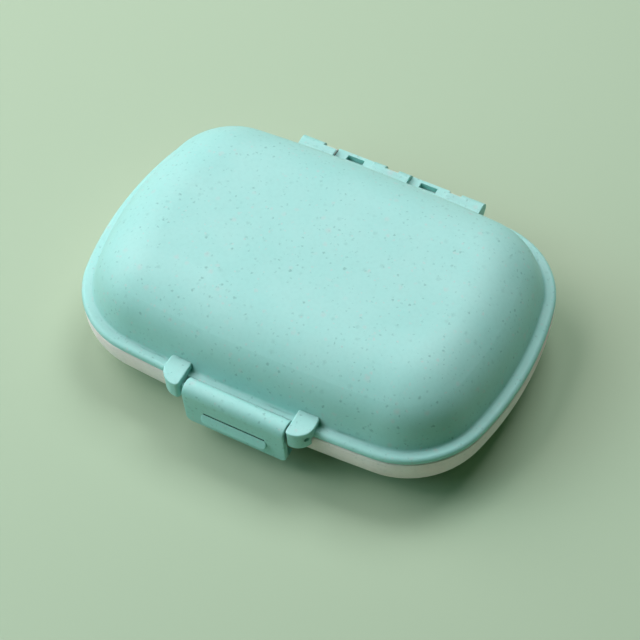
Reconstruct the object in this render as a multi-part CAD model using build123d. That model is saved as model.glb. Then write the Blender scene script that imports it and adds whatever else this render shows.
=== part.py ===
from build123d import *
import os
from math import atan2, cos, degrees, radians, sin, sqrt, tan

os.makedirs("parts", exist_ok=True)

# A clamshell pill organizer: an off-white tub with a lift-out tray and
# dividers, and a domed lid on a rear hinge with a snap latch in front.
# Millimetres, +Z up. The origin is on the table under the middle of the
# tub. The latch faces -Y and the hinge +Y.

# Outline in plan: four bowed sides that run into round corners
LENGTH = 125.0
DEPTH = 85.0
LONG_BOW = 560.0
END_BOW = 95.0
CORNER = 25.0

# Tub
RIM_Z = 16.4
TUB_INSET = 0.05
TUB_ROLL = 14.0
TUB_WALL = 3.15
TUB_FLOOR = 1.8
TUB_INNER_ROLL = 10.9
RIM_ROUND = 0.45

# Lid
LID_EDGE_Z = 17.0
FLANGE_HEIGHT = 1.55
FLANGE_ROUND = 1.1
DOME_INSET = 3.1
LID_TOP_Z = 34.8
LID_WALL = 1.7
DOME_LEAN = 17.0
SHOULDER_SLOPE = 40.0
SHOULDER_RADIUS = 14.0
CROWN_RADIUS = 20.5
CREASE_RADIUS = 0.8

# Seal ring in its groove under the flange
GROOVE_INSET = 1.8
GROOVE_WIDTH = 1.1
GROOVE_DEPTH = 0.75
SEAL_SIDE_GAP = 0.05
SEAL_RIM_GAP = 0.05

# Lift-out tray with its lengthwise spine
TRAY_GAP = 0.35
TRAY_WALL = 1.2
TRAY_ROLL = 11.1
TRAY_TOP_Z = 15.8
SPINE_THICK = 1.8
DOME_GAP = 1.2

# Dividers and the slots that hold them
DIVIDER_PITCH = 29.0
DIVIDER_THICK = 1.4
SLOT_DEPTH = 0.55
SLOT_SIDE_GAP = 0.1
SLOT_END_GAP = 0.12

# Hinge: axis just behind the rim, at the height of the lid's edge
HINGE_BEHIND = 1.0
HINGE_ABOVE = 0.0
BARREL_RADIUS = 2.5
BARREL_HALF = 28.4
BLOCK_TOP = 2.3
END_BLOCK = 10.9
MIDDLE_BLOCK = 11.4
STRIP_TOP = 0.75
WINDOW_FROM = 8.9
WINDOW_LENGTH = 5.15
WINDOW_START = -0.3
WINDOW_WIDTH = 1.7
WINDOW_BOTTOM = -1.2
KNUCKLE_GAP = 0.25
FINGER_RADIUS = 1.9
FINGER_WIDTH = 3.8
END_FINGER_X = 19.5
FINGER_GAP = 0.2
FINGER_SIDE_GAP = 0.15
HOOD_REACH = 0.5
WEB_BOTTOM = -1.9
WEB_ROOT = 2.2
HINGE_PIN_RADIUS = 0.75
HINGE_PIN_LENGTH = 7.2
PIN_RUNNING_GAP = 0.05
PIN_END_GAP = 0.15

# Latch: pivot in front of the flange, a little left of the middle
LATCH_X = -0.5
PIVOT_FORWARD = 1.6
PIVOT_ABOVE = 0.9
FLAP_WIDTH = 30.2
FLAP_SLIDE = 0.5
FLAP_ROLL = 2.8
FLAP_THICK = 1.7
FLAP_LEAN = 3.0
FLAP_CORNER = 1.8
FLAP_EDGE = 0.35
ROLL_GAP = 0.15
HOOK_INNER = 10.8
HOOK_OUTER = 12.3
HOOK_REACH = 1.5
LATCH_PIN_RADIUS = 0.75
PIN_RECESS = 1.5

# Nail lip: a wedge across the flap with a slanting slot behind its top edge
LIP_LENGTH = 19.6
LIP_HEIGHT = 2.9
LIP_ABOVE_HOOK = 2.2
LIP_CORNER = 1.2
LIP_REACH = 1.3
LIP_EDGE = 0.25
LIP_SLOT_HEIGHT = 0.7
LIP_SLOT_DEPTH = 0.9

# Catch on the tub, under which the flap snaps
LEDGE_HALF = 12.0
LEDGE_REACH = 1.4
LEDGE_FACE = 1.0
LEDGE_HEIGHT = 2.8
LEDGE_GAP = 0.3

# Ears that carry the latch pin
EAR_GAP = 31.9
EAR_WIDTH = 6.2
EAR_REACH = 3.9
EAR_BACK = 5.25
EAR_DROP = 3.0
EAR_RISE = 3.7
EAR_CAP = 0.6
EAR_STEP = 0.15
EAR_FRONT_ROUND = 4.9
EAR_BACK_ROUND = 2.2
EAR_INNER_ROUND = 1.1
EAR_FOOT = 0.9
EAR_EDGE = 0.35
EAR_TUB_GAP = 0.45

# How far a cutter runs past the face that it opens
PAST = 1.0

HINGE_Y = DEPTH / 2 + HINGE_BEHIND
HINGE_Z = LID_EDGE_Z + HINGE_ABOVE
PIVOT_Y = -(DEPTH / 2 + PIVOT_FORWARD)
PIVOT_Z = LID_EDGE_Z + PIVOT_ABOVE
FLANGE_TOP_Z = LID_EDGE_Z + FLANGE_HEIGHT
EAR_TOP_Z = LID_EDGE_Z + EAR_RISE
EAR_BOTTOM_Z = LID_EDGE_Z - EAR_DROP
FLAP_X = LATCH_X + FLAP_SLIDE
LIP_LOW_Z = PIVOT_Z - HOOK_INNER + LIP_ABOVE_HOOK
LIP_HIGH_Z = LIP_LOW_Z + LIP_HEIGHT
TRAY_INSET = TUB_INSET + TUB_WALL + TRAY_GAP
WELL_INSET = TRAY_INSET + TRAY_WALL
WELL_FLOOR = TUB_FLOOR + TRAY_WALL
WELL_ROLL = TRAY_ROLL - TRAY_WALL
DIVIDER_XS = (-DIVIDER_PITCH, 0.0, DIVIDER_PITCH)
FINGER_XS = (-END_FINGER_X, 0.0, END_FINGER_X)


def outline_sectors():
    """Arcs of the outline: centre, radius, start angle and sweep."""
    side = Vector(0, DEPTH / 2 - LONG_BOW)
    end = Vector(LENGTH / 2 - END_BOW, 0)
    reach_side = LONG_BOW - CORNER
    reach_end = END_BOW - CORNER
    span = (end - side).length
    along = (reach_side**2 - reach_end**2 + span**2) / (2 * span)
    across = sqrt(reach_side**2 - along**2)
    unit = (end - side).normalized()
    corner = side + unit * along + Vector(unit.Y, -unit.X) * across
    steep = degrees(atan2(corner.Y - side.Y, corner.X - side.X))
    shallow = degrees(atan2(corner.Y - end.Y, corner.X - end.X))
    turn = steep - shallow
    return [
        ((end.X, 0), END_BOW, -shallow, 2 * shallow),
        ((corner.X, corner.Y), CORNER, shallow, turn),
        ((0, side.Y), LONG_BOW, steep, 180 - 2 * steep),
        ((-corner.X, corner.Y), CORNER, 180 - steep, turn),
        ((-end.X, 0), END_BOW, 180 - shallow, 2 * shallow),
        ((-corner.X, -corner.Y), CORNER, 180 + shallow, turn),
        ((0, -side.Y), LONG_BOW, 180 + steep, 180 - 2 * steep),
        ((corner.X, -corner.Y), CORNER, -steep, turn),
    ]


SECTORS = outline_sectors()


def core(low, high):
    """Prism inside the corner centres, between two heights."""
    arcs = []
    for centre, radius, start, sweep in SECTORS:
        if radius > CORNER:
            arcs.append(CenterArc(centre, radius - CORNER, start, sweep))
    return Pos(0, 0, low) * extrude(make_face(arcs), high - low)


def ring(section):
    """Section with x = inset and y = height, taken round the outline."""
    pieces = []
    for centre, radius, start, sweep in SECTORS:
        out = (cos(radians(start)), sin(radians(start)))
        plane = Plane(
            origin=(centre[0] + radius * out[0], centre[1] + radius * out[1], 0),
            x_dir=(-out[0], -out[1], 0),
            z_dir=(-out[1], out[0], 0),
        )
        pieces.append(revolve(plane * section, Axis(centre + (0,), (0, 0, 1)), sweep))
    return pieces[0].fuse(*pieces[1:]).clean()


def filled(section):
    """Ring whose section reaches the corner centres, with its middle filled."""
    box = section.edges().sort_by(Axis.X)[-1].bounding_box()
    return (ring(section) + core(box.min.Y, box.max.Y)).clean()


def tub_section(inset, top, floor, roll, lip=0.0):
    """Upright wall and rolled lower edge."""
    edges = [
        Line((inset, top - lip), (inset, floor + roll)),
        CenterArc((inset + roll, floor + roll), roll, 180, 90),
        Line((inset + roll, floor), (CORNER, floor)),
        Line((CORNER, floor), (CORNER, top)),
        Line((CORNER, top), (inset + lip, top)),
    ]
    if lip:
        edges.append(CenterArc((inset + lip, top - lip), lip, 90, 90))
    return make_face(edges)


def dome_edges(depth):
    """Dome profile, a given depth under its skin, and the profile's foot."""
    lean = radians(DOME_LEAN)
    slope = radians(90 + SHOULDER_SLOPE)
    risen = SHOULDER_RADIUS * (sin(slope) - sin(lean)) + CROWN_RADIUS * (1 - sin(slope))
    straight = (LID_TOP_Z - FLANGE_TOP_Z - risen) / cos(lean)
    bend = Vector(DOME_INSET, FLANGE_TOP_Z) + Vector(sin(lean), cos(lean)) * straight
    shoulder = bend + Vector(cos(lean), -sin(lean)) * SHOULDER_RADIUS
    crown = shoulder + Vector(cos(slope), sin(slope)) * (SHOULDER_RADIUS - CROWN_RADIUS)
    low = bend + Vector(cos(lean), -sin(lean)) * depth
    top_z = LID_TOP_Z - depth
    edges = [
        CenterArc((shoulder.X, shoulder.Y), SHOULDER_RADIUS - depth, 90 + SHOULDER_SLOPE,
                  90 - DOME_LEAN - SHOULDER_SLOPE),
        CenterArc((crown.X, crown.Y), CROWN_RADIUS - depth, 90, SHOULDER_SLOPE),
        Line((crown.X, top_z), (CORNER, top_z)),
    ]
    return edges, (low.X, low.Y), top_z


def dome_inset(depth, z):
    """Inset of the dome's leaning side, a given depth under its skin."""
    low = dome_edges(depth)[1]
    return low[0] - (low[1] - z) * tan(radians(DOME_LEAN))


def lid_section():
    """Flange with a round outer edge, crease and dome, as one solid."""
    edges, low, top_z = dome_edges(0)
    lean = radians(DOME_LEAN)
    trim = CREASE_RADIUS * tan((90 - DOME_LEAN) * radians(1) / 2)
    before = (DOME_INSET - trim, FLANGE_TOP_Z)
    after = (DOME_INSET + trim * sin(lean), FLANGE_TOP_Z + trim * cos(lean))
    edges += [
        Line((0, LID_EDGE_Z), (0, FLANGE_TOP_Z - FLANGE_ROUND)),
        CenterArc((FLANGE_ROUND, FLANGE_TOP_Z - FLANGE_ROUND), FLANGE_ROUND, 90, 90),
        Line((FLANGE_ROUND, FLANGE_TOP_Z), before),
        TangentArc(before, after, tangent=(1, 0)),
        Line(after, low),
        Line((CORNER, top_z), (CORNER, LID_EDGE_Z)),
        Line((CORNER, LID_EDGE_Z), (0, LID_EDGE_Z)),
    ]
    return make_face(edges)


def room_section(inset, floor, roll, depth, shelf):
    """Tray well below a shelf height and dome space above it."""
    edges, low, top_z = dome_edges(depth)
    waist = dome_inset(depth, shelf)
    edges += [
        Line(low, (waist, shelf)),
        Line((waist, shelf), (inset, shelf)),
        Line((inset, shelf), (inset, floor + roll)),
        CenterArc((inset + roll, floor + roll), roll, 180, 90),
        Line((inset + roll, floor), (CORNER, floor)),
        Line((CORNER, floor), (CORNER, top_z)),
    ]
    return make_face(edges)


def cavity_section():
    """Space under the dome, run down past the lid's edge."""
    edges, low, top_z = dome_edges(LID_WALL)
    mouth = (dome_inset(LID_WALL, LID_EDGE_Z - PAST), LID_EDGE_Z - PAST)
    edges += [
        Line(low, mouth),
        Line(mouth, (CORNER, mouth[1])),
        Line((CORNER, mouth[1]), (CORNER, top_z)),
    ]
    return make_face(edges)


def band(inset, width, low, high):
    """Rectangular section for a groove or a ring."""
    return Pos(inset + width / 2, (low + high) / 2) * Rectangle(width, high - low)


def block(x, y, z):
    """Box between two limits on each axis."""
    size = (x[1] - x[0], y[1] - y[0], z[1] - z[0])
    return Pos(sum(x) / 2, sum(y) / 2, sum(z) / 2) * Box(*size)


def rod(radius, x, y, z):
    """Round bar along X at one place in Y and Z."""
    middle = Pos((x[0] + x[1]) / 2, y, z)
    return middle * Rot(0, 90, 0) * Cylinder(radius, x[1] - x[0])


def along_x(face, x):
    """Face drawn in Y and Z, run between two X limits."""
    return extrude(Plane.YZ.offset(x[0]) * face, x[1] - x[0])


def finger_span(x, gap=0.0):
    half = FINGER_WIDTH / 2 + gap
    return (x - half, x + half)


def pin_span(x, gap=0.0):
    """Pin through a finger: outward from the end ones, both ways in the middle."""
    if x == 0:
        return (-HINGE_PIN_LENGTH / 2 - gap, HINGE_PIN_LENGTH / 2 + gap)
    near = abs(x) - FINGER_WIDTH / 2
    far = near + HINGE_PIN_LENGTH + gap
    return (near, far) if x > 0 else (-far, -near)


def ear_span(side):
    inner = EAR_GAP / 2
    spans = (inner, inner + EAR_WIDTH)
    return tuple(sorted((LATCH_X + side * spans[0], LATCH_X + side * spans[1])))


def latch_ledge():
    """Catch on the tub's front, square below and sloping above."""
    wall_y = -(DEPTH / 2 - TUB_INSET)
    face_y = wall_y - LEDGE_REACH - TUB_INSET
    drop = sqrt((HOOK_INNER - LEDGE_GAP) ** 2 - (face_y - PIVOT_Y) ** 2)
    low = PIVOT_Z - drop
    inside = wall_y + TUB_WALL
    shape = make_face(Polyline(
        (inside, low), (face_y, low), (face_y, low + LEDGE_FACE),
        (wall_y, low + LEDGE_HEIGHT), (inside, low + LEDGE_HEIGHT), close=True,
    ))
    return along_x(shape, (LATCH_X - LEDGE_HALF, LATCH_X + LEDGE_HALF))


def base_shell():
    """Tub with hinge fingers behind and the latch's catch in front."""
    shell = filled(tub_section(TUB_INSET, RIM_Z, 0, TUB_ROLL, RIM_ROUND))
    inside = tub_section(TUB_INSET + TUB_WALL, RIM_Z + PAST, TUB_FLOOR, TUB_INNER_ROLL)
    shell -= filled(inside)
    notch = BARREL_HALF + KNUCKLE_GAP
    shell -= rod(BARREL_RADIUS + KNUCKLE_GAP, (-notch, notch), HINGE_Y, HINGE_Z)
    half = EAR_GAP / 2
    shell -= rod(FLAP_ROLL + ROLL_GAP, (LATCH_X - half, LATCH_X + half), PIVOT_Y, PIVOT_Z)
    shell += latch_ledge()
    root_y = DEPTH / 2 - TUB_INSET - WEB_ROOT
    for x in FINGER_XS:
        span = finger_span(x)
        shell += rod(FINGER_RADIUS, span, HINGE_Y, HINGE_Z)
        shell += block(span, (root_y, HINGE_Y), (HINGE_Z + WEB_BOTTOM, RIM_Z))
    for x in FINGER_XS:
        span = finger_span(x, PAST)
        shell -= rod(HINGE_PIN_RADIUS, span, HINGE_Y, HINGE_Z)
    return shell


def hinge_barrel():
    """Blocks and low strips of the lid's hinge, before the fingers' slots."""
    start_y = DEPTH / 2 - DOME_INSET
    barrel = rod(BARREL_RADIUS, (-BARREL_HALF, BARREL_HALF), HINGE_Y, HINGE_Z)
    top_z = HINGE_Z + BLOCK_TOP
    barrel += block((-BARREL_HALF, BARREL_HALF), (start_y, HINGE_Y), (HINGE_Z, top_z))
    strip_from = MIDDLE_BLOCK / 2
    strip_to = BARREL_HALF - END_BLOCK
    for side in (-1, 1):
        strip = tuple(sorted((side * strip_from, side * strip_to)))
        barrel -= block(strip, (start_y - PAST, HINGE_Y + BARREL_RADIUS + PAST),
                        (HINGE_Z + STRIP_TOP, HINGE_Z + BARREL_RADIUS + PAST))
        window = tuple(sorted((side * WINDOW_FROM, side * (WINDOW_FROM + WINDOW_LENGTH))))
        window_y = HINGE_Y + WINDOW_START
        barrel -= block(window, (window_y, window_y + WINDOW_WIDTH),
                        (HINGE_Z + WINDOW_BOTTOM, HINGE_Z + BARREL_RADIUS))
    return barrel


def finger_slot(x):
    """Space for one tub finger under the hood of the lid's hinge."""
    span = finger_span(x, FINGER_SIDE_GAP)
    reach = BARREL_RADIUS + PAST
    slot = rod(FINGER_RADIUS + FINGER_GAP, span, HINGE_Y, HINGE_Z)
    slot += block(span, (HINGE_Y + HOOD_REACH, HINGE_Y + reach), (HINGE_Z - reach, HINGE_Z + reach))
    slot += block(span, (HINGE_Y - reach, HINGE_Y + reach), (HINGE_Z - reach, HINGE_Z))
    return slot


def ear_plan(side, shrink):
    """Ear seen from above: rounded outside, a small round at the inner front."""
    span = ear_span(side)
    back_y = PIVOT_Y + EAR_BACK + EAR_DROP / 2
    front_y = -(DEPTH / 2 + EAR_REACH) + shrink
    outer_x = span[1] if side > 0 else span[0]
    outer_x -= side * shrink
    inner_x = span[0] if side > 0 else span[1]
    points = ((inner_x, back_y), (outer_x, back_y), (outer_x, front_y), (inner_x, front_y))
    shape = make_face(Polyline(*points, close=True))
    corners = shape.vertices()
    front = corners.sort_by_distance((outer_x, front_y, 0))[0]
    shape = fillet(front, EAR_FRONT_ROUND - shrink)
    back = shape.vertices().sort_by_distance((outer_x, back_y, 0))[0]
    shape = fillet(back, EAR_BACK_ROUND)
    inner = shape.vertices().sort_by_distance((inner_x, front_y, 0))[0]
    return fillet(inner, EAR_INNER_ROUND)


def ear(side):
    """Ear with a thin cap a step wider than its body."""
    cap_z = EAR_TOP_Z - EAR_CAP
    cap = Pos(0, 0, cap_z) * extrude(ear_plan(side, 0), EAR_CAP)
    cap = fillet(cap.faces().sort_by(Axis.Z)[-1].edges(), EAR_EDGE)
    body = Pos(0, 0, EAR_BOTTOM_Z) * extrude(ear_plan(side, EAR_STEP), cap_z - EAR_BOTTOM_Z)
    body = fillet(body.faces().sort_by(Axis.Z)[0].edges(), EAR_FOOT)
    body -= block(ear_span(side), (-(DEPTH / 2 + EAR_TUB_GAP - TUB_INSET), 0), (0, LID_EDGE_Z))
    return cap + body


def lid_shell():
    """Domed lid with its flange, seal groove, ears and hinge barrel."""
    lid = filled(lid_section())
    lid += hinge_barrel()
    for side in (-1, 1):
        lid += ear(side)
    lid -= filled(cavity_section())
    lid -= ring(band(GROOVE_INSET, GROOVE_WIDTH, LID_EDGE_Z - PAST, LID_EDGE_Z + GROOVE_DEPTH))
    half = EAR_GAP / 2
    lid -= rod(FLAP_ROLL + ROLL_GAP, (LATCH_X - half, LATCH_X + half), PIVOT_Y, PIVOT_Z)
    through = half + EAR_WIDTH + PAST
    lid -= rod(LATCH_PIN_RADIUS, (LATCH_X - through, LATCH_X + through), PIVOT_Y, PIVOT_Z)
    for x in FINGER_XS:
        lid -= finger_slot(x)
        bore = HINGE_PIN_RADIUS + PIN_RUNNING_GAP
        lid -= rod(bore, pin_span(x, PIN_END_GAP), HINGE_Y, HINGE_Z)
    return lid


def seal_ring():
    low = RIM_Z + SEAL_RIM_GAP
    width = GROOVE_WIDTH - 2 * SEAL_SIDE_GAP
    return ring(band(GROOVE_INSET + SEAL_SIDE_GAP, width, low, LID_EDGE_Z + GROOVE_DEPTH))


def divider_slabs(thick):
    """Upright slabs through all six divider places, front and rear."""
    inner = SPINE_THICK / 2 - SLOT_DEPTH
    slabs = []
    for side in (-1, 1):
        y = tuple(sorted((side * inner, side * DEPTH / 2)))
        for x in DIVIDER_XS:
            slabs.append(block((x - thick / 2, x + thick / 2), y, (0, LID_TOP_Z)))
    return slabs


def compartment_tray():
    """Tray with one spine along its middle and slots for the dividers."""
    tray = filled(tub_section(TRAY_INSET, TRAY_TOP_Z, TUB_FLOOR, TRAY_ROLL))
    tray -= filled(tub_section(WELL_INSET, TRAY_TOP_Z + PAST, WELL_FLOOR, WELL_ROLL))
    half = TRAY_WALL / 2
    room = filled(room_section(WELL_INSET - half, WELL_FLOOR - half, WELL_ROLL + half,
                               LID_WALL + DOME_GAP, TRAY_TOP_Z))
    spine = SPINE_THICK / 2
    tray += room & block((-LENGTH / 2, LENGTH / 2), (-spine, spine), (0, LID_TOP_Z))
    slot = filled(room_section(WELL_INSET - SLOT_DEPTH, WELL_FLOOR - SLOT_DEPTH,
                               WELL_ROLL + SLOT_DEPTH, 0, TRAY_TOP_Z + PAST))
    for slab in divider_slabs(DIVIDER_THICK + 2 * SLOT_SIDE_GAP):
        tray -= slab & slot
    return tray


def dividers():
    """Six loose walls, seated on the floor of their slots."""
    room = filled(room_section(WELL_INSET - SLOT_DEPTH + SLOT_END_GAP, WELL_FLOOR - SLOT_DEPTH,
                               WELL_ROLL + SLOT_DEPTH, LID_WALL + DOME_GAP, TRAY_TOP_Z))
    middle = SPINE_THICK / 2 - SLOT_DEPTH + SLOT_END_GAP
    room -= block((-LENGTH, LENGTH), (-middle, middle), (0, LID_TOP_Z))
    return [room & slab for slab in divider_slabs(DIVIDER_THICK)]


def hinge_pins():
    """Three like pins, pressed into the tub's fingers."""
    pins = [rod(HINGE_PIN_RADIUS, pin_span(x), HINGE_Y, HINGE_Z) for x in FINGER_XS]
    return Compound(children=pins)


def flap_profile():
    """Latch from the side: roll, leaning panel and inward hook."""
    lean = radians(FLAP_LEAN)
    down = Vector(sin(lean), -cos(lean))
    inward = Vector(cos(lean), sin(lean))
    pivot = Vector(PIVOT_Y, PIVOT_Z)
    outer_top = pivot - inward * FLAP_ROLL
    inner_top = outer_top + inward * FLAP_THICK
    corners = [outer_top, outer_top + down * (HOOK_OUTER + PAST),
               inner_top + down * (HOOK_OUTER + PAST), inner_top]
    panel = make_face(Polyline(*[(p.X, p.Y) for p in corners], close=True))
    disc = Pos(pivot.X, pivot.Y) * Circle(HOOK_OUTER)
    hook_y = (outer_top.X, PIVOT_Y + HOOK_REACH)
    sweep = Pos(sum(hook_y) / 2, PIVOT_Z - HOOK_OUTER) * Rectangle(hook_y[1] - hook_y[0], HOOK_OUTER)
    hook = (disc - Pos(pivot.X, pivot.Y) * Circle(HOOK_INNER)) & sweep
    front = make_face(Polyline(
        (outer_top.X, outer_top.Y), (corners[1].X, corners[1].Y),
        (PIVOT_Y + HOOK_OUTER, corners[1].Y), (PIVOT_Y + HOOK_OUTER, outer_top.Y), close=True,
    ))
    return (Pos(pivot.X, pivot.Y) * Circle(FLAP_ROLL)) + (panel & disc) + (hook & front)


def face_y(z):
    """Y of the flap's leaning front at one height."""
    lean = radians(FLAP_LEAN)
    return PIVOT_Y - FLAP_ROLL / cos(lean) + (PIVOT_Z - z) * tan(lean)


def nail_lip():
    """Wedge that leans out from the flap's face towards its foot."""
    top, foot = face_y(LIP_HIGH_Z), face_y(LIP_LOW_Z) - LIP_REACH
    back = top + FLAP_THICK / 2
    wedge = make_face(Polyline(
        (top, LIP_HIGH_Z), (foot, LIP_LOW_Z), (back, LIP_LOW_Z), (back, LIP_HIGH_Z), close=True,
    ))
    outline = Plane.XZ * (Pos(FLAP_X, (LIP_LOW_Z + LIP_HIGH_Z) / 2) * RectangleRounded(
        LIP_LENGTH, LIP_HEIGHT, LIP_CORNER))
    half = LIP_LENGTH / 2
    lip = along_x(wedge, (FLAP_X - half, FLAP_X + half)) & extrude(outline, DEPTH, both=True)
    return fillet(lip.faces().sort_by(Axis.Y)[0].edges(), LIP_EDGE)


def lip_slot():
    """Slot that runs inward and down behind the lip's top edge."""
    low_z = LIP_HIGH_Z
    high_z = low_z + LIP_SLOT_HEIGHT
    slot = make_face(Polyline(
        (face_y(low_z) - PAST, low_z + PAST), (face_y(low_z) + LIP_SLOT_DEPTH, low_z - LIP_SLOT_DEPTH),
        (face_y(high_z) + LIP_SLOT_DEPTH, high_z - LIP_SLOT_DEPTH), (face_y(high_z) - PAST, high_z + PAST),
        close=True,
    ))
    half = (LIP_LENGTH - LIP_CORNER) / 2
    return along_x(slot, (FLAP_X - half, FLAP_X + half))


def latch_flap():
    """Snap flap that hooks under the tub's catch."""
    span = (FLAP_X - FLAP_WIDTH / 2, FLAP_X + FLAP_WIDTH / 2)
    flap = along_x(flap_profile(), span)
    height = HOOK_OUTER + FLAP_ROLL
    low = PIVOT_Z - HOOK_OUTER
    plan = Plane.XZ * (Pos(FLAP_X, low + height / 2) * RectangleRounded(
        FLAP_WIDTH, height, FLAP_CORNER))
    front_y = PIVOT_Y - FLAP_ROLL
    top_cover = block(span, (front_y, PIVOT_Y + FLAP_ROLL), (PIVOT_Z - FLAP_ROLL, PIVOT_Z + FLAP_ROLL))
    flap &= extrude(plan, DEPTH, both=True) + top_cover
    ends = flap.faces().sort_by(Axis.X)
    flap = fillet(ends[0].edges() + ends[-1].edges(), FLAP_EDGE)
    flap += nail_lip()
    flap -= lip_slot()
    flap -= rod(LATCH_PIN_RADIUS + PIN_RUNNING_GAP, span, PIVOT_Y, PIVOT_Z)
    return flap


def latch_pin():
    half = EAR_GAP / 2 + EAR_WIDTH - PIN_RECESS
    return rod(LATCH_PIN_RADIUS, (LATCH_X - half, LATCH_X + half), PIVOT_Y, PIVOT_Z)


def save(shape, node):
    export_step(shape, f"parts/{node}.step")


save(base_shell(), "base_shell")
save(compartment_tray(), "compartment_tray")
names = [f"divider_{row}_{n}" for row in ("front", "rear") for n in (1, 2, 3)]
for node, shape in zip(names, dividers()):
    save(shape, node)
save(hinge_pins(), "hinge_pins")
save(lid_shell(), "lid_shell")
save(seal_ring(), "seal_ring")
save(latch_pin(), "latch_pin")
save(latch_flap(), "latch_flap")
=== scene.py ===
import math
from collections import namedtuple

import bmesh
import bpy
from bpy.props import FloatProperty, FloatVectorProperty, PointerProperty
from mathutils import Matrix, Vector


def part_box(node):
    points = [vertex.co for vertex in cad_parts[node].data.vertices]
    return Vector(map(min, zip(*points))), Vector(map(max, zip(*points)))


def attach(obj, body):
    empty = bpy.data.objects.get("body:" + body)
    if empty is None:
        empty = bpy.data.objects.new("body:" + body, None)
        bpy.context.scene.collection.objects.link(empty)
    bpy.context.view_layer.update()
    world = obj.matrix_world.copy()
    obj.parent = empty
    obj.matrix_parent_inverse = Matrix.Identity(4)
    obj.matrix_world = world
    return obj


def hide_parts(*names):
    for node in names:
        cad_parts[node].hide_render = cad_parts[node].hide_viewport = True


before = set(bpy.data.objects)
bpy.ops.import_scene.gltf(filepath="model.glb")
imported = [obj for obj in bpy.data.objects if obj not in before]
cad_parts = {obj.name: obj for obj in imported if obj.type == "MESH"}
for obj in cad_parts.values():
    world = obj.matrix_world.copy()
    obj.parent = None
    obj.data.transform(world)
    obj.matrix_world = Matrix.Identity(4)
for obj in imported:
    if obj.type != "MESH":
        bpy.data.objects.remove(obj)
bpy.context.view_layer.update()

bl_info = {
    "name": "Pill Organizer",
    "version": (1, 0, 0),
    "blender": (4, 5, 0),
    "location": "3D View > Sidebar > Pill Organizer",
    "description": "Finishes the pieces of a hinged pill organizer and sets its stage",
    "category": "Object",
}

MILLIMETRE = 0.001


def painted(code):
    """Linear colour from a two-digit-a-channel display colour."""
    channels = [int(code[i:i + 2], 16) / 255 for i in (0, 2, 4)]
    return tuple(c / 12.92 if c <= 0.04045 else ((c + 0.055) / 1.055) ** 2.4 for c in channels)


# Sizes and colours that a user would change

class PlasticLooks(bpy.types.PropertyGroup):
    """Straw-filled plastic of the lid, the latch, the tub and the tray."""
    lid_tone: FloatVectorProperty(
        name="Lid tone", description="Main colour of the lid and latch",
        subtype="COLOR", size=3, min=0, max=1, default=painted("9FD2CC"))
    lid_shade: FloatVectorProperty(
        name="Lid shade", description="Slightly deeper tone that clouds the lid",
        subtype="COLOR", size=3, min=0, max=1, default=painted("9AD0CA"))
    tub_tone: FloatVectorProperty(
        name="Tub tone", description="Main colour of the tub",
        subtype="COLOR", size=3, min=0, max=1, default=painted("FBEFEE"))
    tub_shade: FloatVectorProperty(
        name="Tub shade", description="Second tone that clouds the tub",
        subtype="COLOR", size=3, min=0, max=1, default=painted("F7E0E1"))
    tray_tone: FloatVectorProperty(
        name="Tray tone", description="Main colour of the tray and dividers",
        subtype="COLOR", size=3, min=0, max=1, default=painted("E6E5E0"))
    tray_shade: FloatVectorProperty(
        name="Tray shade", description="Second tone that clouds the tray",
        subtype="COLOR", size=3, min=0, max=1, default=painted("DEDDD7"))
    dark_fleck: FloatVectorProperty(
        name="Dark fleck", description="Colour of the dark straw flecks",
        subtype="COLOR", size=3, min=0, max=1, default=painted("5C8982"))
    warm_fleck: FloatVectorProperty(
        name="Warm fleck", description="Colour of the pinkish straw flecks",
        subtype="COLOR", size=3, min=0, max=1, default=painted("C6BCBB"))
    fleck_size: FloatProperty(
        name="Fleck size", description="Size that the radius of every kind of fleck goes by",
        subtype="DISTANCE", unit="LENGTH", min=0, default=0.34 * MILLIMETRE)
    roughness: FloatProperty(
        name="Roughness", description="Roughness of the moulded surface",
        min=0, max=1, default=0.55)
    grain: FloatProperty(
        name="Grain depth", description="Depth of the fine surface grain",
        subtype="DISTANCE", unit="LENGTH", min=0, default=0.02 * MILLIMETRE)
    edge_round: FloatProperty(
        name="Edge round", description="Radius that softens moulded edges in shading",
        subtype="DISTANCE", unit="LENGTH", min=0, default=0.2 * MILLIMETRE)
    # Paler edges: rubbed wear and a painted edge highlight
    edge_wear_and_highlight: FloatProperty(
        name="Edge wear", description="How much paler the handled edges are",
        subtype="FACTOR", min=0, max=1, default=0.3)
    # Painted shade: the next three darken the plastic round gaps and recesses, where the light is
    # blocked
    painted_shade_reach: FloatProperty(
        name="Crevice reach", description="How far dust darkens the plastic round a gap",
        subtype="DISTANCE", unit="LENGTH", min=0, default=1.5 * MILLIMETRE)
    crevice_painted_shade: FloatProperty(
        name="Crevice dust", description="How much dust darkens the lid's gaps",
        subtype="FACTOR", min=0, max=1, default=0.5)
    tub_painted_shade: FloatProperty(
        name="Tub dust", description="How much dust darkens the tub's gaps",
        subtype="FACTOR", min=0, max=1, default=0.15)
    glow: FloatProperty(
        name="Glow", description="Share of the light that scatters inside the plastic",
        subtype="FACTOR", min=0, max=1, default=0.25)
    glow_reach: FloatProperty(
        name="Glow reach", description="How far light scatters inside the plastic",
        subtype="DISTANCE", unit="LENGTH", min=0, default=2.5 * MILLIMETRE)


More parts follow.
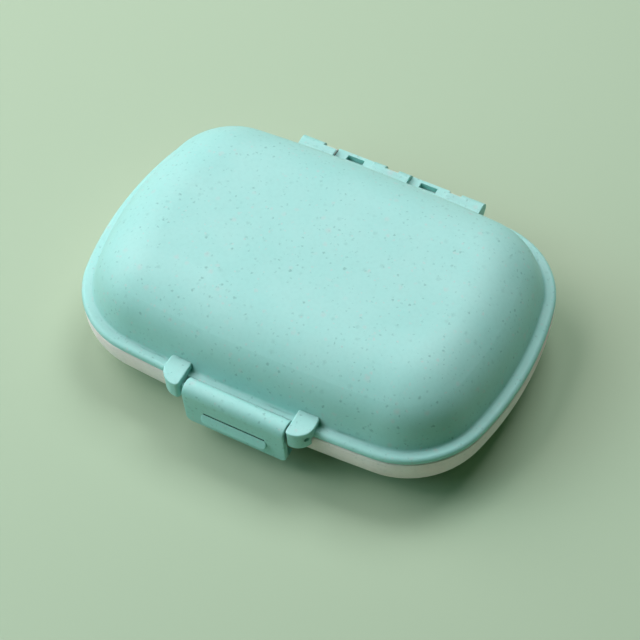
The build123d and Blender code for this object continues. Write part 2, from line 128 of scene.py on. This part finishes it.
class FittingLooks(bpy.types.PropertyGroup):
    """Pins and the soft seal."""
    steel: FloatVectorProperty(
        name="Pin steel", description="Colour of the drawn steel of the hinge pins",
        subtype="COLOR", size=3, min=0, max=1, default=painted("B9BABA"))
    pin_tone: FloatVectorProperty(
        name="Latch pin tone", description="Colour of the latch pin",
        subtype="COLOR", size=3, min=0, max=1, default=painted("86BDB5"))
    seal_tone: FloatVectorProperty(
        name="Seal tone", description="Colour of the silicone seal",
        subtype="COLOR", size=3, min=0, max=1, default=painted("E3E4DF"))
    seal_dust: FloatVectorProperty(
        name="Seal dust", description="Colour of the dust on the seal",
        subtype="COLOR", size=3, min=0, max=1, default=painted("9E9E96"))
    seal_width: FloatProperty(
        name="Seal width", description="Width of the seal's section",
        subtype="DISTANCE", unit="LENGTH", min=0, default=1.0 * MILLIMETRE)
    seal_edge: FloatProperty(
        name="Seal edge", description="Radius of the seal's rounded edges",
        subtype="DISTANCE", unit="LENGTH", min=0, default=0.3 * MILLIMETRE)
    seal_turn: FloatProperty(
        name="Seal turn", description="Turn between two points of the seal's line",
        subtype="ANGLE", unit="ROTATION", min=0.001, default=math.radians(2.5))
    long_bow: FloatProperty(
        name="Side bow", description="Radius of the bowed front and back of the outline",
        subtype="DISTANCE", unit="LENGTH", min=0, default=560 * MILLIMETRE)
    end_bow: FloatProperty(
        name="End bow", description="Radius of the bowed ends of the outline",
        subtype="DISTANCE", unit="LENGTH", min=0, default=95 * MILLIMETRE)
    corner: FloatProperty(
        name="Corner", description="Radius of the outline's corners",
        subtype="DISTANCE", unit="LENGTH", min=0, default=25 * MILLIMETRE)


class StageLooks(bpy.types.PropertyGroup):
    """Floor, lamps and camera."""
    floor_tone: FloatVectorProperty(
        name="Floor tone", description="Colour of the plain floor",
        subtype="COLOR", size=3, min=0, max=1, default=painted("AABDA3"))
    far_tone: FloatVectorProperty(
        name="Far tone", description="Colour of the floor past the reach of the lamps",
        subtype="COLOR", size=3, min=0, max=1, default=painted("B5CEB0"))
    lit_reach: FloatProperty(
        name="Lit reach", description="Distance at which the floor starts to turn to its far tone",
        subtype="DISTANCE", unit="LENGTH", min=0, default=200 * MILLIMETRE)
    far_reach: FloatProperty(
        name="Far reach", description="Distance at which the floor has its far tone",
        subtype="DISTANCE", unit="LENGTH", min=0, default=700 * MILLIMETRE)
    floor_reach: FloatProperty(
        name="Floor reach", description="Distance from the middle of the floor to its sides",
        subtype="DISTANCE", unit="LENGTH", min=0, default=20.0)
    key_power: FloatProperty(
        name="Key power", description="Power of the wide lamp at the left",
        subtype="POWER", unit="POWER", min=0, default=8.3)
    key_tone: FloatVectorProperty(
        name="Key tone", description="Colour of the wide lamp at the left",
        subtype="COLOR", size=3, min=0, max=1, default=(1.0, 0.89, 0.95))
    back_power: FloatProperty(
        name="Back power", description="Power of the high lamp behind",
        subtype="POWER", unit="POWER", min=0, default=6.7)
    back_tone: FloatVectorProperty(
        name="Back tone", description="Colour of the high lamp behind",
        subtype="COLOR", size=3, min=0, max=1, default=(0.95, 0.96, 1.0))
    side_power: FloatProperty(
        name="Side power", description="Power of the low lamp at the front left",
        subtype="POWER", unit="POWER", min=0, default=2.9)
    side_tone: FloatVectorProperty(
        name="Side tone", description="Colour of the low lamp at the front left",
        subtype="COLOR", size=3, min=0, max=1, default=(0.66, 0.97, 1.0))
    sky_strength: FloatProperty(
        name="Sky strength", description="Strength of the even light from all round",
        min=0, default=0.07)
    sky_tone: FloatVectorProperty(
        name="Sky tone", description="Colour of the even light from all round",
        subtype="COLOR", size=3, min=0, max=1, default=(0.2, 1.0, 0.4))
    focal_length: FloatProperty(
        name="Focal length", description="Lens of the camera",
        subtype="DISTANCE_CAMERA", min=1, default=111.48)
    sensor_width: FloatProperty(
        name="Sensor width", description="Width of the camera's sensor",
        subtype="DISTANCE_CAMERA", min=1, default=36.0)
    target: FloatVectorProperty(
        name="Target", description="Point that the camera looks at",
        subtype="TRANSLATION", unit="LENGTH", size=3,
        default=(5.572 * MILLIMETRE, -8.95 * MILLIMETRE, 17.0 * MILLIMETRE))
    azimuth: FloatProperty(
        name="Azimuth", description="Turn of the camera round the object from its front",
        subtype="ANGLE", unit="ROTATION", default=math.radians(31.23))
    elevation: FloatProperty(
        name="Elevation", description="Height of the camera above the horizon",
        subtype="ANGLE", unit="ROTATION", default=math.radians(54.36))
    roll: FloatProperty(
        name="Roll", description="Turn of the camera about its own line of sight",
        subtype="ANGLE", unit="ROTATION", default=math.radians(-3.70))
    distance: FloatProperty(
        name="Distance", description="Distance from the camera to its target",
        subtype="DISTANCE", unit="LENGTH", min=0, default=529.43 * MILLIMETRE)


GROUPS = {
    "pill_organizer_plastic": PlasticLooks,
    "pill_organizer_fittings": FittingLooks,
    "pill_organizer_stage": StageLooks,
}
Looks = namedtuple("Looks", "plastic fittings stage")


def looks(scene):
    """The three groups of sizes and colours, as the scene holds them."""
    return Looks(*(getattr(scene, name) for name in GROUPS))


# Materials

LEAST_FLECK = 0.35   # radius of the smallest fleck, as a share of the largest
NO_WIDTH = 1e-5      # keeps the edge of a cell without a fleck from dividing by nothing
MIX_INPUTS = (0, 6, 7)   # places of a colour mix's share and its two colours
MIX_RESULT = 2


class Nodes:
    """Short calls for wiring one material."""

    def __init__(self, name):
        self.material = bpy.data.materials.new(name)
        self.material.use_nodes = True
        self.tree = self.material.node_tree
        self.shader = self.tree.nodes["Principled BSDF"]
        self.place = self.add("ShaderNodeTexCoord").outputs["Object"]

    def feed(self, socket, value):
        """Links a socket to another one, or sets its value."""
        if isinstance(value, bpy.types.NodeSocket):
            self.tree.links.new(value, socket)
        else:
            socket.default_value = value

    def add(self, kind, inputs=None, **settings):
        """New node with its settings and inputs."""
        node = self.tree.nodes.new(kind)
        for key, value in settings.items():
            setattr(node, key, value)
        for key, value in (inputs or {}).items():
            self.feed(node.inputs[key], value)
        return node

    def shade(self, key, value):
        """Sets or links one input of the surface shader."""
        self.feed(self.shader.inputs[key], value)

    def math(self, operation, a, b):
        """Result of one operation on two numbers."""
        return self.add("ShaderNodeMath", {0: a, 1: b}, operation=operation).outputs[0]

    def vector(self, operation, inputs):
        """Node of one operation on vectors."""
        return self.add("ShaderNodeVectorMath", inputs, operation=operation)

    def spread(self, value, low, high, to_low=0.0, to_high=1.0):
        """Maps a value's range to another and clamps it."""
        return self.add("ShaderNodeMapRange", {
            "Value": value, "From Min": low, "From Max": high,
            "To Min": to_low, "To Max": to_high}).outputs["Result"]

    def noise(self, cells, detail, place=None):
        """Noise with so many cells to the metre."""
        return self.add("ShaderNodeTexNoise", {
            "Vector": place or self.place, "Scale": cells, "Detail": detail})

    def patches(self, cells, detail, low, high, to_low=0.0, to_high=1.0):
        """Noise between two levels, as soft patches."""
        return self.spread(self.noise(cells, detail).outputs["Fac"], low, high, to_low, to_high)

    def mix(self, share, a, b):
        """Blend of two colours, each a socket or three numbers."""
        node = self.add("ShaderNodeMix", data_type="RGBA")
        factor, first, second = (node.inputs[n] for n in MIX_INPUTS)
        self.feed(factor, share)
        for socket, value in ((first, a), (second, b)):
            linked = isinstance(value, bpy.types.NodeSocket)
            self.feed(socket, value if linked else (*value, 1.0))
        return node.outputs[MIX_RESULT]

    def bump(self, strength, distance, height, normal=None):
        """Small relief on the surface."""
        inputs = {"Strength": strength, "Distance": distance, "Height": height}
        if normal is not None:
            inputs["Normal"] = normal
        self.shade("Normal", self.add("ShaderNodeBump", inputs).outputs["Normal"])

    def warped(self, amount, cells):
        """Object coordinates pushed about by noise, for ragged outlines."""
        wobble = self.noise(cells, detail=3.0).outputs["Color"]
        centred = self.vector("SUBTRACT", {0: wobble, 1: (0.5, 0.5, 0.5)}).outputs[0]
        push = self.vector("SCALE", {0: centred, "Scale": amount}).outputs[0]
        return self.vector("ADD", {0: self.place, 1: push}).outputs[0]

    def flecks(self, place, gap, radius, share, blur):
        """Mask of scattered flecks: one chance of a fleck to each cell."""
        cells = self.add("ShaderNodeTexVoronoi", {"Vector": place, "Scale": 1 / gap})
        chance = self.add("ShaderNodeSeparateColor", {"Color": cells.outputs["Color"]})
        chosen = self.math("LESS_THAN", chance.outputs[0], share)
        size = self.spread(chance.outputs[1], 0.0, 1.0,
                           to_low=LEAST_FLECK * radius / gap, to_high=radius / gap)
        reach = self.math("MULTIPLY", size, chosen)
        inner = self.math("MULTIPLY", reach, 1.0 - blur)
        edge = self.math("ADD", reach, NO_WIDTH)
        return self.spread(cells.outputs["Distance"], edge, inner)


# Kinds of straw fleck, in the order they are laid in the plastic. The gap is
# the cell that may hold one, the radius counts in fleck sizes, the share is of
# the cells that hold one, and blur is how much of the radius fades out.
FleckKind = namedtuple("FleckKind", "gap radius share strength blur tint")
FLECK_KINDS = (
    FleckKind(3.6 * MILLIMETRE, 3.4, 0.50, 0.34, 0.9, "warm_fleck"),
    FleckKind(2.9 * MILLIMETRE, 2.6, 0.55, 0.22, 0.9, "dark_fleck"),
    FleckKind(1.7 * MILLIMETRE, 1.5, 0.50, 0.42, 0.7, "warm_fleck"),
    FleckKind(1.4 * MILLIMETRE, 1.35, 0.60, 0.31, 0.7, "dark_fleck"),
    FleckKind(2.3 * MILLIMETRE, 1.6, 0.60, 0.45, 0.6, "dark_fleck"),
)
FLECK_WARP = 1.2 * MILLIMETRE

# How strong the flecks are in the plastics other than the lid's
TUB_FLECKS = 0.35
TRAY_FLECKS = 0.15
LATCH_PIN_FLECKS = 0.3

EDGE_TURN = (0.99, 0.80)   # how far a normal agrees with the rounded one, from flat to an edge
PAINTED_SHADE_GAP = (0.75, 0.25)   # how open a place is, from where the painted shade starts to where it is full
WORN_AND_HIGHLIGHT_PALE = 0.5            # how far a worn edge with its painted highlight turns to white
PAINTED_SHADE_DARK = 0.25           # tone of the painted shade in gaps, as a share of the plastic's
PLASTIC_INDEX = 1.48


def flecked(nodes, plastic, colour, strength):
    """Plastic with every kind of straw fleck in it."""
    ragged = nodes.warped(FLECK_WARP, cells=1300)
    for kind in FLECK_KINDS:
        mask = nodes.flecks(ragged, kind.gap, plastic.fleck_size * kind.radius, kind.share, kind.blur)
        share = nodes.math("MULTIPLY", mask, kind.strength * strength)
        colour = nodes.mix(share, colour, getattr(plastic, kind.tint))
    return colour


def wear_and_painted_light(nodes, plastic, colour, tone, round_normal, most_painted_shade):
    """Pales the edges a little, as rubbed wear and a painted edge highlight, and darkens the gaps
    with painted shade.
    """
    # Paler edges stand for rubbed wear in patches and a painted edge highlight
    flat = nodes.add("ShaderNodeNewGeometry").outputs["Normal"]
    turn = nodes.vector("DOT_PRODUCT", {0: flat, 1: round_normal}).outputs["Value"]
    edge = nodes.spread(turn, *EDGE_TURN)
    patches = nodes.patches(cells=420, detail=3.0, low=0.35, high=0.6, to_low=0.35)
    rubbed_and_highlit = nodes.math("MULTIPLY", nodes.math("MULTIPLY", edge, patches), plastic.edge_wear_and_highlight)
    pale = tuple(WORN_AND_HIGHLIGHT_PALE + (1 - WORN_AND_HIGHLIGHT_PALE) * c for c in tone)
    colour = nodes.mix(rubbed_and_highlit, colour, pale)
    # Painted shade: ambient occlusion darkens the plastic where gaps and recesses block the light
    gap = nodes.add("ShaderNodeAmbientOcclusion", {"Distance": plastic.painted_shade_reach}, samples=6)
    dust = nodes.spread(gap.outputs["AO"], *PAINTED_SHADE_GAP, to_high=most_painted_shade)
    return nodes.mix(dust, colour, tuple(PAINTED_SHADE_DARK * c for c in tone))


def speckled_plastic(name, scene, tone, shade, most_painted_shade, fleck_strength=1.0):
    """Moulded plastic with clouded tone, straw flecks, fine grain and soft edges."""
    plastic = looks(scene).plastic
    nodes = Nodes(name)
    clouds = nodes.patches(cells=55, detail=4.0, low=0.35, high=0.65)
    mottle = nodes.patches(cells=900, detail=3.0, low=0.45, high=0.75, to_high=0.06)
    colour = nodes.mix(mottle, nodes.mix(clouds, tone, shade), plastic.dark_fleck)
    colour = flecked(nodes, plastic, colour, fleck_strength)
    soft = nodes.add("ShaderNodeBevel", {"Radius": plastic.edge_round}, samples=4).outputs["Normal"]
    nodes.shade("Base Color", wear_and_painted_light(nodes, plastic, colour, tone, soft, most_painted_shade))
    brightest = max(tone)
    nodes.shade("Subsurface Weight", plastic.glow)
    nodes.shade("Subsurface Radius", tuple(c / brightest for c in tone))
    nodes.shade("Subsurface Scale", plastic.glow_reach)
    nodes.shade("Roughness", nodes.patches(
        cells=160, detail=3.0, low=0.3, high=0.7,
        to_low=plastic.roughness - 0.05, to_high=plastic.roughness + 0.07))
    nodes.shade("IOR", PLASTIC_INDEX)
    grain = nodes.noise(cells=1400, detail=3.0).outputs["Fac"]
    nodes.bump(strength=0.25, distance=plastic.grain, height=grain, normal=soft)
    return nodes.material


def pin_steel(scene):
    """Drawn wire with fine lines along its length."""
    nodes = Nodes("pin_steel")
    lines_along, lines_across = 60, 4000
    drawn = nodes.add("ShaderNodeMapping", {
        "Vector": nodes.place, "Scale": (lines_along, lines_across, lines_across)})
    lines = nodes.noise(cells=1.0, detail=2.0, place=drawn.outputs[0]).outputs["Fac"]
    steel = looks(scene).fittings.steel
    darker = tuple(0.7 * c for c in steel)
    nodes.shade("Base Color", nodes.mix(nodes.spread(lines, 0.3, 0.7), steel, darker))
    nodes.shade("Metallic", 1.0)
    nodes.shade("Roughness", nodes.spread(lines, 0.3, 0.7, to_low=0.28, to_high=0.42))
    nodes.bump(strength=0.2, distance=0.01 * MILLIMETRE, height=lines)
    return nodes.material


def seal_silicone(scene):
    """Soft milky silicone with a faint bloom of dust."""
    nodes = Nodes("seal_silicone")
    fittings = looks(scene).fittings
    cloudy = tuple(0.86 * c for c in fittings.seal_tone)
    clouds = nodes.patches(cells=240, detail=4.0, low=0.35, high=0.7)
    colour = nodes.mix(clouds, fittings.seal_tone, cloudy)
    ragged = nodes.warped(0.1 * MILLIMETRE, cells=4000)
    dust = nodes.flecks(ragged, gap=1.1 * MILLIMETRE, radius=0.09 * MILLIMETRE, share=0.4, blur=0.35)
    colour = nodes.mix(nodes.math("MULTIPLY", dust, 0.4), colour, fittings.seal_dust)
    nodes.shade("Base Color", colour)
    nodes.shade("Roughness", nodes.spread(clouds, 0.0, 1.0, to_low=0.52, to_high=0.64))
    nodes.shade("Subsurface Weight", 0.15)
    nodes.shade("Subsurface Scale", 1.0 * MILLIMETRE)
    fine = nodes.noise(cells=2600, detail=2.0).outputs["Fac"]
    nodes.bump(strength=0.2, distance=0.01 * MILLIMETRE, height=fine)
    return nodes.material


def floor_paper(scene):
    """Matt paper with a barely clouded tone, evenly pale past the reach of the lamps."""
    stage = looks(scene).stage
    nodes = Nodes("floor_paper")
    clouds = nodes.patches(cells=3.0, detail=3.0, low=0.3, high=0.7)
    deeper = tuple(0.985 * c for c in stage.floor_tone)
    nodes.shade("Base Color", nodes.mix(clouds, stage.floor_tone, deeper))
    nodes.shade("Roughness", 0.9)
    nodes.shade("Specular IOR Level", 0.15)
    away = nodes.vector("LENGTH", {0: nodes.place}).outputs["Value"]
    far = nodes.spread(away, stage.lit_reach, stage.far_reach)
    rays = nodes.add("ShaderNodeLightPath").outputs
    seen = nodes.math("MAXIMUM", rays["Is Camera Ray"], rays["Is Glossy Ray"])
    seen = nodes.math("MAXIMUM", seen, rays["Is Transmission Ray"])
    plain = nodes.add("ShaderNodeEmission", {"Color": (*stage.far_tone, 1.0)})
    floor = nodes.add("ShaderNodeMixShader", {
        0: nodes.math("MULTIPLY", far, seen), 1: nodes.shader.outputs[0], 2: plain.outputs[0]})
    nodes.feed(nodes.tree.nodes["Material Output"].inputs["Surface"], floor.outputs[0])
    return nodes.material


# Pieces that the frame holds

def finish_nodes(names, material):
    """Gives CAD nodes their finish."""
    missing = [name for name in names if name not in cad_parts]
    if missing or not names:
        raise RuntimeError(f"no such nodes to finish in {material.name}: {missing}")
    for name in names:
        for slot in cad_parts[name].material_slots:
            slot.material = material


class PILLORGANIZER_OT_lid(bpy.types.Operator):
    """Finish the domed lid in speckled aqua plastic"""
    bl_idname = "pill_organizer.lid"
    bl_label = "Lid"

    def execute(self, context):
        plastic = looks(context.scene).plastic
        finish_nodes(["lid_shell"], speckled_plastic(
            "lid_plastic", context.scene, plastic.lid_tone, plastic.lid_shade,
            plastic.crevice_painted_shade))
        return {"FINISHED"}


class PILLORGANIZER_OT_latch(bpy.types.Operator):
    """Finish the latch flap and its pin"""
    bl_idname = "pill_organizer.latch"
    bl_label = "Latch"

    def execute(self, context):
        plastic, fittings, _ = looks(context.scene)
        finish_nodes(["latch_flap"], speckled_plastic(
            "latch_plastic", context.scene, plastic.lid_tone, plastic.lid_shade,
            plastic.crevice_painted_shade))
        finish_nodes(["latch_pin"], speckled_plastic(
            "latch_pin_plastic", context.scene, fittings.pin_tone, plastic.lid_shade,
            plastic.crevice_painted_shade, LATCH_PIN_FLECKS))
        return {"FINISHED"}


class PILLORGANIZER_OT_tub(bpy.types.Operator):
    """Finish the tub in off-white straw plastic"""
    bl_idname = "pill_organizer.tub"
    bl_label = "Tub"

    def execute(self, context):
        plastic = looks(context.scene).plastic
        finish_nodes(["base_shell"], speckled_plastic(
            "tub_plastic", context.scene, plastic.tub_tone, plastic.tub_shade,
            plastic.tub_painted_shade, TUB_FLECKS))
        return {"FINISHED"}


class PILLORGANIZER_OT_tray(bpy.types.Operator):
    """Finish the lift-out tray and its six dividers"""
    bl_idname = "pill_organizer.tray"
    bl_label = "Tray and dividers"

    def execute(self, context):
        plastic = looks(context.scene).plastic
        names = ["compartment_tray"] + [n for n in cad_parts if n.startswith("divider_")]
        finish_nodes(names, speckled_plastic(
            "tray_plastic", context.scene, plastic.tray_tone, plastic.tray_shade,
            plastic.tub_painted_shade, TRAY_FLECKS))
        return {"FINISHED"}


class PILLORGANIZER_OT_pins(bpy.types.Operator):
    """Finish the hinge pins in drawn steel"""
    bl_idname = "pill_organizer.pins"
    bl_label = "Hinge pins"

    def execute(self, context):
        finish_nodes(["hinge_pins"], pin_steel(context.scene))
        return {"FINISHED"}


# Seal

def outline_halves():
    """Half the lid's length, and half the depth of the outline without ears and hinge."""
    seal_x, seal_y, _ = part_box("seal_ring")[1]
    half_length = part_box("lid_shell")[1][0]
    return half_length, seal_y + half_length - seal_x


def loop_points(half_length, half_depth, long_bow, end_bow, corner, turn):
    """Points of a bowed rectangle with round corners, one for each small turn."""
    end_x = half_length - end_bow
    side_y = half_depth - long_bow
    reach_side, reach_end = long_bow - corner, end_bow - corner
    span = math.hypot(end_x, side_y)
    along = (reach_side ** 2 - reach_end ** 2 + span ** 2) / (2 * span)
    across = math.sqrt(reach_side ** 2 - along ** 2)
    unit = Vector((end_x, -side_y)) / span
    middle = Vector((0, side_y)) + unit * along + Vector((unit.y, -unit.x)) * across
    steep = math.atan2(middle.y - side_y, middle.x)
    shallow = math.atan2(middle.y, middle.x - end_x)
    fewest = 4
    first = []
    for centre, radius, start, stop in (
            (Vector((end_x, 0)), end_bow, 0, shallow),
            (middle, corner, shallow, steep),
            (Vector((0, side_y)), long_bow, steep, math.pi / 2)):
        count = max(fewest, round((stop - start) / turn))
        for n in range(count):
            angle = start + (stop - start) * n / count
            point = centre + Vector((math.cos(angle), math.sin(angle))) * radius
            first.append((point.x, point.y))
    left = [(-x, y) for x, y in reversed(first[1:])]
    upper = [*first, (0.0, half_depth), *left]
    return [*upper, (-half_length, 0.0), *[(-x, -y) for x, y in upper[1:]]]


def seal_path(sizes, collection):
    """Closed line along the middle of the seal's groove, and the seal's height."""
    low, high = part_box("seal_ring")
    half_length, half_depth = outline_halves()
    inset = half_length - high[0] + sizes.seal_width / 2
    points = loop_points(
        half_length - inset, half_depth - inset, sizes.long_bow - inset,
        sizes.end_bow - inset, sizes.corner - inset, sizes.seal_turn)
    middle_z = (low[2] + high[2]) / 2
    edges = [(n, (n + 1) % len(points)) for n in range(len(points))]
    mesh = bpy.data.meshes.new("seal_path")
    mesh.from_pydata([(x, y, middle_z) for x, y in points], edges, [])
    path = bpy.data.objects.new("seal_path", mesh)
    collection.objects.link(path)
    return path, high[2] - low[2]


def bead_tree():
    """Rounded bead swept along a closed line, with its section as inputs."""
    tree = bpy.data.node_groups.new("swept_bead", "GeometryNodeTree")
    ports = tree.interface
    ports.new_socket("Geometry", in_out="INPUT", socket_type="NodeSocketGeometry")
    for name in ("Width", "Height", "Edge radius"):
        ports.new_socket(name, in_out="INPUT", socket_type="NodeSocketFloat")
    ports.new_socket("Finish", in_out="INPUT", socket_type="NodeSocketMaterial")
    ports.new_socket("Geometry", in_out="OUTPUT", socket_type="NodeSocketGeometry")
    add, link = tree.nodes.new, tree.links.new
    given, result = add("NodeGroupInput"), add("NodeGroupOutput")
    line = add("GeometryNodeMeshToCurve")
    upright = add("GeometryNodeSetCurveNormal")
    upright.mode = "Z_UP"
    section = add("GeometryNodeCurvePrimitiveQuadrilateral")
    rounded = add("GeometryNodeFilletCurve")
    rounded.mode = "POLY"
    rounded.inputs["Count"].default_value = 4
    sweep = add("GeometryNodeCurveToMesh")
    real = add("GeometryNodeRealizeInstances")
    finish = add("GeometryNodeSetMaterial")
    for source, target in (
            (given.outputs["Geometry"], line.inputs["Mesh"]),
            (line.outputs["Curve"], upright.inputs["Curve"]),
            (given.outputs["Width"], section.inputs["Width"]),
            (given.outputs["Height"], section.inputs["Height"]),
            (section.outputs["Curve"], rounded.inputs["Curve"]),
            (given.outputs["Edge radius"], rounded.inputs["Radius"]),
            (upright.outputs["Curve"], sweep.inputs["Curve"]),
            (rounded.outputs["Curve"], sweep.inputs["Profile Curve"]),
            (sweep.outputs["Mesh"], real.inputs["Geometry"]),
            (real.outputs["Geometry"], finish.inputs["Geometry"]),
            (given.outputs["Finish"], finish.inputs["Material"]),
            (finish.outputs["Geometry"], result.inputs["Geometry"])):
        link(source, target)
    return tree


def swept(path, inputs, context):
    """Mesh that the bead tree makes along a path."""
    tree = bead_tree()
    bead = path.modifiers.new("bead", "NODES")
    bead.node_group = tree
    for item in tree.interface.items_tree:
        if item.in_out == "INPUT" and item.name in inputs:
            bead[item.identifier] = inputs[item.name]
    mesh = bpy.data.meshes.new_from_object(path.evaluated_get(context.evaluated_depsgraph_get()))
    for face in mesh.polygons:
        face.use_smooth = True
    return mesh


class PILLORGANIZER_OT_seal(bpy.types.Operator):
    """Sweep the soft seal round its groove under the lid's flange"""
    bl_idname = "pill_organizer.seal"
    bl_label = "Seal"

    def execute(self, context):
        sizes = looks(context.scene).fittings
        collection = context.scene.collection
        path, height = seal_path(sizes, collection)
        mesh = swept(path, {
            "Width": sizes.seal_width, "Height": height, "Edge radius": sizes.seal_edge,
            "Finish": seal_silicone(context.scene)}, context)
        bpy.data.objects.remove(path)
        if not mesh.polygons:
            raise RuntimeError("the seal came out without faces")
        made = bpy.data.objects.new("seal_bead", mesh)
        collection.objects.link(made)
        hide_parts("seal_ring")
        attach(made, "lid")
        return {"FINISHED"}


# Stage

# Where each lamp hangs, in metres and degrees, and how wide and deep it is
LampPlace = namedtuple("LampPlace", "distance turn height size")
LAMPS = {
    "key": LampPlace(0.95, 180, 50, (0.9, 0.7)),
    "back": LampPlace(1.1, 90, 58, (0.6, 0.5)),
    "side": LampPlace(0.95, 215, 32, (0.6, 0.5)),
}
LAMP_TARGET = (0, 0, 10 * MILLIMETRE)


def around(distance, turn, height):
    """Place at a distance from the middle: degrees round from +X and up from the floor."""
    a, e = math.radians(turn), math.radians(height)
    return (distance * math.cos(a) * math.cos(e), distance * math.sin(a) * math.cos(e),
            distance * math.sin(e))


def hang_lamp(name, lamp, power, tone, collection):
    """Soft rectangular lamp turned to the object."""
    data = bpy.data.lights.new(name, "AREA")
    data.shape = "RECTANGLE"
    data.size, data.size_y = lamp.size
    data.energy = power
    data.color = tone
    place = around(lamp.distance, lamp.turn, lamp.height)
    made = bpy.data.objects.new(name, data)
    made.location = place
    made.rotation_mode = "QUATERNION"
    made.rotation_quaternion = (Vector(LAMP_TARGET) - Vector(place)).to_track_quat("-Z", "Y")
    collection.objects.link(made)


def lay_floor(scene):
    """Plain floor under the object."""
    half = looks(scene).stage.floor_reach
    mesh = bpy.data.meshes.new("floor")
    shape = bmesh.new()
    corners = [shape.verts.new((x, y, 0)) for x, y in
               ((-half, -half), (half, -half), (half, half), (-half, half))]
    shape.faces.new(corners)
    shape.to_mesh(mesh)
    shape.free()
    mesh.materials.append(floor_paper(scene))
    floor = bpy.data.objects.new("floor", mesh)
    scene.collection.objects.link(floor)


def light_sky(scene):
    """Dim even light from all round."""
    stage = looks(scene).stage
    world = bpy.data.worlds.new("sky")
    scene.world = world
    world.use_nodes = True
    background = world.node_tree.nodes["Background"]
    background.inputs["Color"].default_value = (*stage.sky_tone, 1.0)
    background.inputs["Strength"].default_value = stage.sky_strength


def set_camera(scene):
    """Camera at the photograph's viewing angle."""
    stage = looks(scene).stage
    a, e = stage.azimuth, stage.elevation
    back = Vector((math.sin(a) * math.cos(e), -math.cos(a) * math.cos(e), math.sin(e)))
    data = bpy.data.cameras.new("camera")
    data.lens = stage.focal_length
    data.sensor_width = stage.sensor_width
    camera = bpy.data.objects.new("camera", data)
    camera.rotation_mode = "QUATERNION"
    camera.location = Vector(stage.target) + back * stage.distance
    level = (-back).to_track_quat("-Z", "Y")
    camera.rotation_quaternion = level @ Matrix.Rotation(stage.roll, 3, "Z").to_quaternion()
    scene.collection.objects.link(camera)
    scene.camera = camera


class PILLORGANIZER_OT_stage(bpy.types.Operator):
    """Lay the floor, hang the lamps and set the camera"""
    bl_idname = "pill_organizer.stage"
    bl_label = "Stage"

    def execute(self, context):
        scene = context.scene
        stage = looks(scene).stage
        lay_floor(scene)
        for name, lamp in LAMPS.items():
            power, tone = getattr(stage, f"{name}_power"), getattr(stage, f"{name}_tone")
            hang_lamp(f"{name}_lamp", lamp, power, tone, scene.collection)
        light_sky(scene)
        set_camera(scene)
        scene.view_settings.view_transform = "Standard"
        return {"FINISHED"}


STEPS = (
    PILLORGANIZER_OT_lid,
    PILLORGANIZER_OT_latch,
    PILLORGANIZER_OT_tub,
    PILLORGANIZER_OT_tray,
    PILLORGANIZER_OT_pins,
    PILLORGANIZER_OT_seal,
    PILLORGANIZER_OT_stage,
)


class PILLORGANIZER_PT_sidebar(bpy.types.Panel):
    """Lists the steps that finish the object"""
    bl_idname = "PILLORGANIZER_PT_sidebar"
    bl_label = "Pill Organizer"
    bl_space_type = "VIEW_3D"
    bl_region_type = "UI"
    bl_category = "Pill Organizer"

    def draw(self, context):
        column = self.layout.column()
        for step in STEPS:
            column.operator(step.bl_idname)
        for group in looks(context.scene):
            for name in group.bl_rna.properties.keys():
                if name not in ("name", "rna_type"):
                    column.prop(group, name)


def register():
    """Adds the groups, operators and panel to Blender."""
    for name, group in GROUPS.items():
        bpy.utils.register_class(group)
        setattr(bpy.types.Scene, name, PointerProperty(type=group))
    for kind in (*STEPS, PILLORGANIZER_PT_sidebar):
        bpy.utils.register_class(kind)


def unregister():
    """Takes them out again, last one first."""
    for kind in (PILLORGANIZER_PT_sidebar, *reversed(STEPS)):
        bpy.utils.unregister_class(kind)
    for name, group in reversed(GROUPS.items()):
        delattr(bpy.types.Scene, name)
        bpy.utils.unregister_class(group)


def main():
    """Makes every piece and the stage."""
    register()
    for step in STEPS:
        area, name = step.bl_idname.split(".")
        getattr(getattr(bpy.ops, area), name)()


if __name__ == "__main__":
    main()
